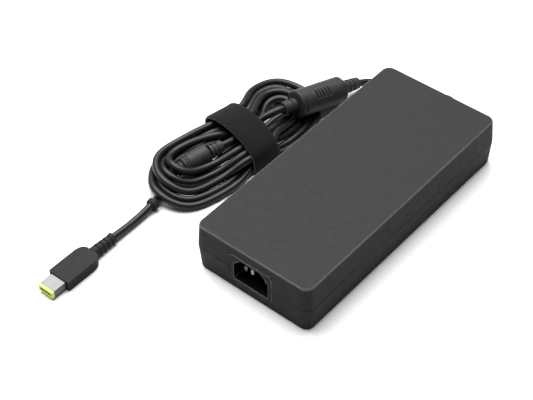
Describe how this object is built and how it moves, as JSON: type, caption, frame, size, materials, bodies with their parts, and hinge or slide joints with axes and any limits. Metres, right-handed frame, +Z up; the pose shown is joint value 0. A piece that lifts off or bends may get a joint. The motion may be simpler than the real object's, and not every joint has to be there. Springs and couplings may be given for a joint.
{
  "type": "laptop power adapter",
  "caption": "Flat black power adapter case with a three-pin mains inlet, and a bundled low-voltage cord that ends in a flat rectangular plug.",
  "frame": {"origin": "middle of the case's flat underside", "axes": "+Z up, +Y along the case from the mains inlet towards the end that the cord leaves, +X across the case, away from the bundled cord"},
  "size_m": [0.1506, 0.2587, 0.0308],
  "materials": {
    "case_plastic": "fine-grained matte black moulding, slightly worn at the edges",
    "inlet_plastic": "smooth black heat-resistant moulding",
    "nickel": "nickel plated contact metal",
    "line_wire": "brown insulated wire",
    "neutral_wire": "blue insulated wire",
    "earth_wire": "green insulated wire",
    "output_wire_red": "red insulated wire",
    "output_wire_black": "black insulated wire",
    "board": "green lacquered board",
    "insulating_film": "cream insulating film",
    "aluminium": "bare sheet",
    "gap_pad": "soft grey heat-conducting pad",
    "label_foil": "blank foil",
    "fuse_body": "white ceramic tube",
    "blue_coating": "blue dipped coating",
    "yellow_film": "yellow moulded box",
    "ferrite_core": "dark grey sintered ferrite",
    "winding_tape": "taped copper winding",
    "copper": "enamelled copper winding",
    "epoxy": "black moulding compound",
    "capacitor_sleeve": "dark shrink sleeve",
    "cord_rubber": "black satin cord jacket",
    "moulded_rubber": "black satin overmoulding",
    "hook_and_loop": "black hook-and-loop tape with a fuzzy face",
    "lime_insulator": "lime yellow insulator"
  },
  "bodies": {
    "root": {"boost_choke_core": "ferrite_core", "boost_choke_winding": "winding_tape", "bridge_rectifier": "epoxy", "bulk_capacitor": "capacitor_sleeve", "circuit_board": "board", "cord_collar": "moulded_rubber", "cord_gland": "moulded_rubber", "cord_hank": "cord_rubber", "dc_cord_lead": "cord_rubber", "dc_cord_tail": "cord_rubber", "ferrite_bundle_side_sleeve": "moulded_rubber", "ferrite_case_side_sleeve": "moulded_rubber", "ferrite_core": "ferrite_core", "ferrite_cover": "moulded_rubber", "filter_capacitor": "yellow_film", "filter_choke_core": "ferrite_core", "filter_choke_winding": "copper", "fuse": "fuse_body", "hank_strap": "hook_and_loop", "heat_spreader": "aluminium", "inlet_housing": "inlet_plastic", "inlet_pin_earth": "nickel", "inlet_pin_line": "nickel", "inlet_pin_neutral": "nickel", "inlet_wire_earth": "earth_wire", "inlet_wire_line": "line_wire", "inlet_wire_neutral": "neutral_wire", "insulating_sheet": "insulating_film", "lower_case": "case_plastic", "mains_heat_sink": "aluminium", "output_capacitor_1": "capacitor_sleeve", "output_capacitor_2": "capacitor_sleeve", "output_capacitor_3": "capacitor_sleeve", "output_choke": "copper", "output_heat_sink": "aluminium", "output_rectifier": "epoxy", "output_wire_negative": "output_wire_black", "output_wire_positive": "output_wire_red", "plug_body": "moulded_rubber", "plug_centre_pin": "nickel", "plug_end_bead_bundle_side_sleeve": "moulded_rubber", "plug_end_bead_core": "ferrite_core", "plug_end_bead_cover": "moulded_rubber", "plug_end_bead_plug_side_sleeve": "moulded_rubber", "plug_insulator": "lime_insulator", "plug_shell": "nickel", "plug_strain_relief": "moulded_rubber", "rating_label": "label_foil", "safety_capacitor": "blue_coating", "switch_transistor_1": "epoxy", "switch_transistor_2": "epoxy", "thermal_pad": "gap_pad", "transformer_core": "ferrite_core", "transformer_winding": "winding_tape", "upper_cover": "case_plastic", "varistor": "blue_coating"}
  },
  "joints": []
}
